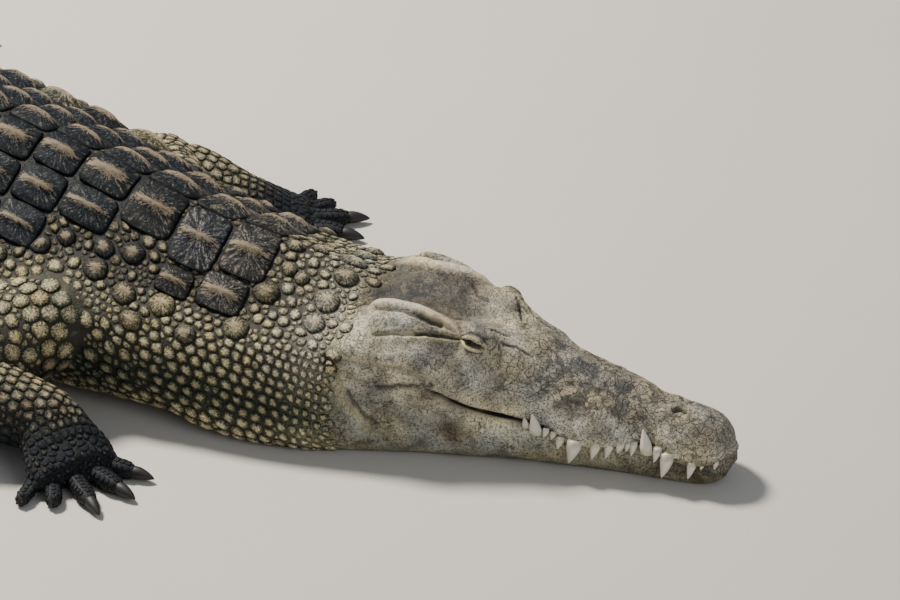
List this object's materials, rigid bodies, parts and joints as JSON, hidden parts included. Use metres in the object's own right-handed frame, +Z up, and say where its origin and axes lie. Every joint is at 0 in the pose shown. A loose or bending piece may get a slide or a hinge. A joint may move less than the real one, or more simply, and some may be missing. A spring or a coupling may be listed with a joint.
{
  "type": "crocodile",
  "caption": "Life-size adult Nile crocodile lying on its belly, mouth closed, head turned a little to its left, four bent legs and a long crested tail.",
  "frame": {"origin": "on the floor under the belly, on the line of the spine, 1.25 m of spine behind the tip of the snout", "axes": "+X forwards along the trunk, towards the head; +Y to the animal's left; +Z up"},
  "size_m": [3.3669, 1.1554, 0.2899],
  "materials": {
    "hide": "dry horny scales, blue-grey above and tan below, with dark skin between them",
    "eye": "wet yellow-green eyeball with a black upright slit pupil",
    "teeth": "ivory enamel, a little stained at the gum",
    "claw": "dull near-black horn"
  },
  "bodies": {
    "root": {"head": "hide", "lower_jaw": "hide", "neck": "hide", "trunk_front": "hide", "trunk_rear": "hide", "tail_1": "hide", "tail_2": "hide", "tail_3": "hide", "tail_4": "hide", "tail_5": "hide", "front_left_upper_arm": "hide", "front_left_forearm": "hide", "front_left_foot": "hide", "front_right_upper_arm": "hide", "front_right_forearm": "hide", "front_right_foot": "hide", "hind_left_thigh": "hide", "hind_left_shin": "hide", "hind_left_foot": "hide", "hind_right_thigh": "hide", "hind_right_shin": "hide", "hind_right_foot": "hide", "eye_left": "eye", "eye_right": "eye", "claw_front_left_1": "claw", "claw_front_left_2": "claw", "claw_front_left_3": "claw", "claw_front_right_1": "claw", "claw_front_right_2": "claw", "claw_front_right_3": "claw", "claw_hind_left_1": "claw", "claw_hind_left_2": "claw", "claw_hind_left_3": "claw", "claw_hind_right_1": "claw", "claw_hind_right_2": "claw", "claw_hind_right_3": "claw"}
  },
  "joints": []
}
